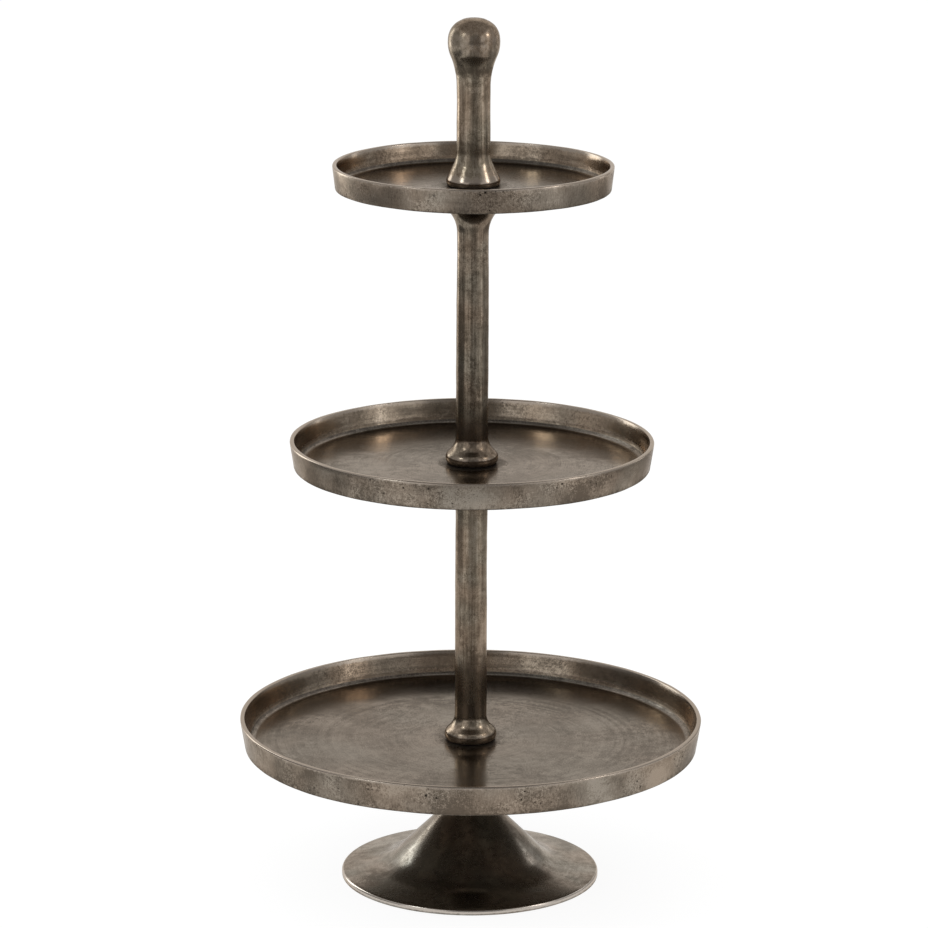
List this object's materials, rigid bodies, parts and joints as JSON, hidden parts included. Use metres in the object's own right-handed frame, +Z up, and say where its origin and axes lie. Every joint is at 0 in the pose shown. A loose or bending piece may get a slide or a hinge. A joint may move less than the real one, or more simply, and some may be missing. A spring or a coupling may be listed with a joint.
{
  "type": "dumbwaiter table",
  "caption": "Tiered dumbwaiter table in antique cast aluminium: round rimmed trays on a turned column, trumpet foot and ball-knob handle.",
  "frame": {"origin": "on the centre line, at the underside of the foot's felt pads, where the table stands on the floor", "axes": "+Z up along the column; the table is round, so +X and +Y are any two level directions"},
  "size_m": [0.51, 0.51, 0.96],
  "materials": {
    "antique_cast_aluminium": "antique dark patina, satin, buffed on the lips and the grip",
    "zinc_steel": "zinc plated",
    "fibre": "black vulcanised fibre",
    "felt": "charcoal felt"
  },
  "bodies": {
    "root": {"foot": "antique_cast_aluminium", "lower_tray": "antique_cast_aluminium", "middle_tray": "antique_cast_aluminium", "upper_tray": "antique_cast_aluminium", "lower_column": "antique_cast_aluminium", "upper_column": "antique_cast_aluminium", "handle": "antique_cast_aluminium", "foot_pad_1": "felt", "foot_pad_2": "felt", "foot_pad_3": "felt", "foot_pad_4": "felt", "foot_bolt": "zinc_steel", "foot_bolt_washer": "zinc_steel", "foot_spring_washer": "zinc_steel", "lower_column_base_bush": "zinc_steel", "lower_column_top_bush": "zinc_steel", "upper_column_base_bush": "zinc_steel", "upper_column_top_bush": "zinc_steel", "handle_bush": "zinc_steel", "middle_stud": "zinc_steel", "upper_stud": "zinc_steel", "lower_tray_under_washer": "fibre", "lower_tray_seat_washer": "fibre", "middle_tray_under_washer": "fibre", "middle_tray_seat_washer": "fibre", "upper_tray_under_washer": "fibre", "upper_tray_seat_washer": "fibre"}
  },
  "joints": []
}
